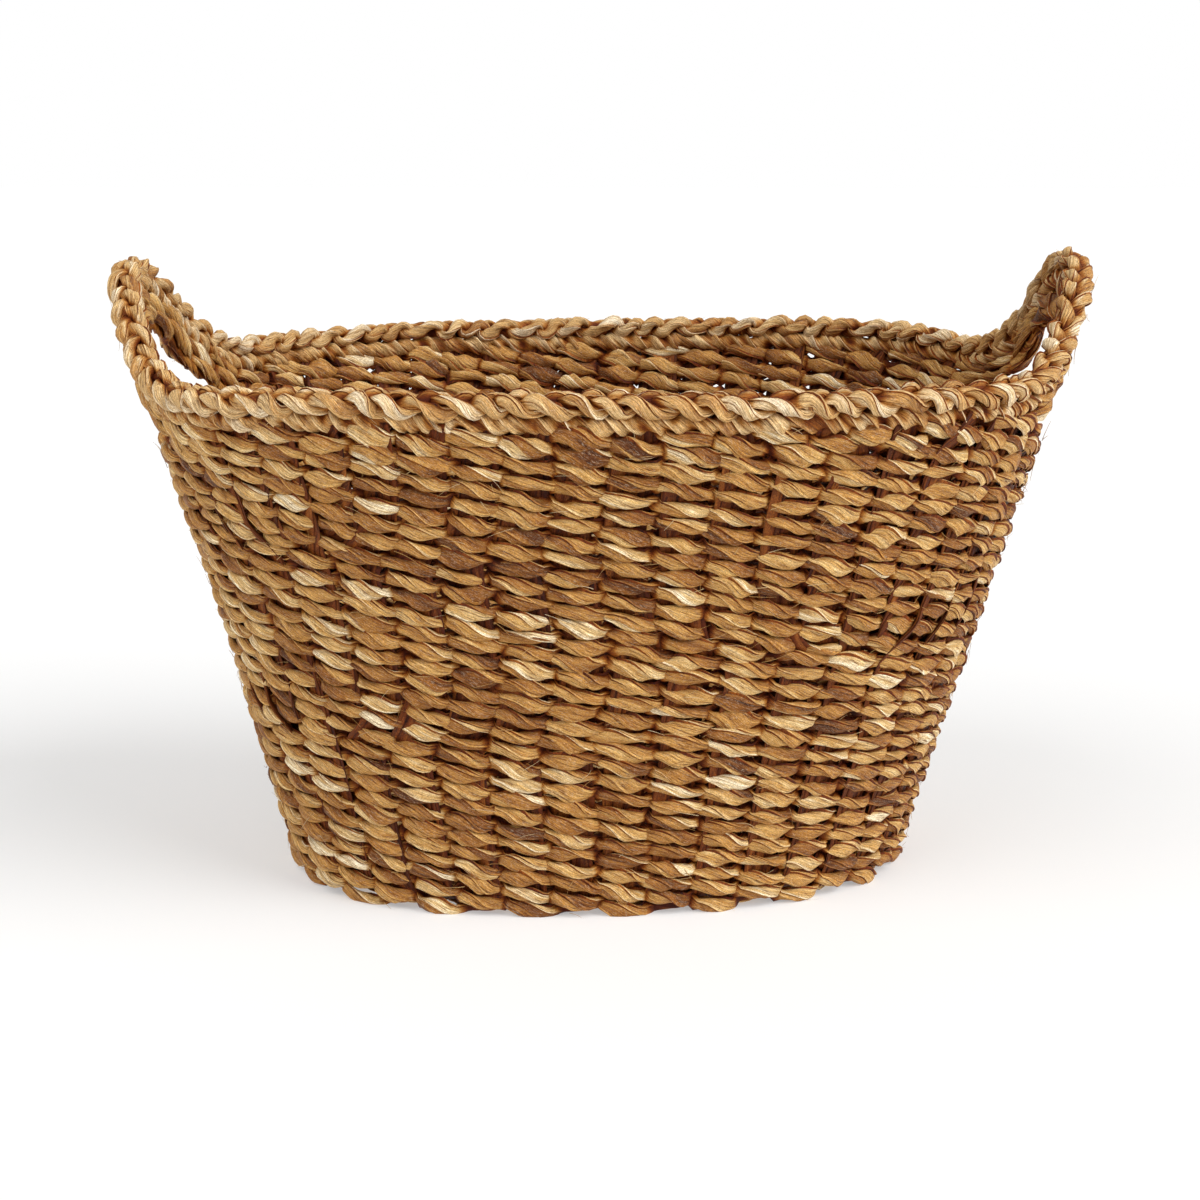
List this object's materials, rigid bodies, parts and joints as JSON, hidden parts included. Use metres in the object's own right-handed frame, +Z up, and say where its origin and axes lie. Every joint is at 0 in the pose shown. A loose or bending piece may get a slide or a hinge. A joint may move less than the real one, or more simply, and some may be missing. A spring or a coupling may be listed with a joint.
{
  "type": "oval seagrass storage basket",
  "caption": "Oval, flared seagrass basket with a woven wall on bent stakes, a plaited border and a raised hand-hole handle at each end.",
  "frame": {"origin": "middle of the footprint, on the surface the basket stands on", "axes": "+X along the basket's length towards one handle, +Y across its width, +Z up out of its mouth"},
  "size_m": [0.5318, 0.3806, 0.3355],
  "materials": {
    "seagrass_wall": "dry matt twisted plant fibre, tan to red-brown with straw streaks",
    "seagrass_border": "dry matt twisted plant fibre, lighter straw tan",
    "seagrass_stake": "dry matt plant stems, dull brown",
    "seagrass_floor": "dry matt twisted plant fibre, tan"
  },
  "bodies": {
    "root": {"arch_round_1": "seagrass_wall", "arch_round_2": "seagrass_wall", "border_plait": "seagrass_border", "border_roll": "seagrass_border", "cross_stake_01": "seagrass_stake", "cross_stake_02": "seagrass_stake", "cross_stake_03": "seagrass_stake", "cross_stake_04": "seagrass_stake", "cross_stake_05": "seagrass_stake", "cross_stake_06": "seagrass_stake", "cross_stake_07": "seagrass_stake", "cross_stake_08": "seagrass_stake", "cross_stake_09": "seagrass_stake", "cross_stake_10": "seagrass_stake", "cross_stake_11": "seagrass_stake", "cross_stake_12": "seagrass_stake", "cross_stake_13": "seagrass_stake", "cross_stake_14": "seagrass_stake", "floor_weave_lower": "seagrass_floor", "floor_weave_upper": "seagrass_floor", "foot_round": "seagrass_wall", "handle_bow_left": "seagrass_stake", "handle_bow_right": "seagrass_stake", "long_stake_1": "seagrass_stake", "long_stake_2": "seagrass_stake", "long_stake_3": "seagrass_stake", "long_stake_4": "seagrass_stake", "long_stake_5": "seagrass_stake", "long_stake_6": "seagrass_stake", "wall_round_01": "seagrass_wall", "wall_round_02": "seagrass_wall", "wall_round_03": "seagrass_wall", "wall_round_04": "seagrass_wall", "wall_round_05": "seagrass_wall", "wall_round_06": "seagrass_wall", "wall_round_07": "seagrass_wall", "wall_round_08": "seagrass_wall", "wall_round_09": "seagrass_wall", "wall_round_10": "seagrass_wall", "wall_round_11": "seagrass_wall", "wall_round_12": "seagrass_wall", "wall_round_13": "seagrass_wall", "wall_round_14": "seagrass_wall", "wall_round_15": "seagrass_wall", "wall_round_16": "seagrass_wall", "wall_round_17": "seagrass_wall", "wall_round_18": "seagrass_wall", "wall_round_19": "seagrass_wall", "wall_round_20": "seagrass_wall", "wall_round_21": "seagrass_wall", "wall_round_22": "seagrass_wall", "wall_round_23": "seagrass_wall", "wall_round_24": "seagrass_wall", "wall_round_25": "seagrass_wall", "wall_round_26": "seagrass_wall"}
  },
  "joints": []
}
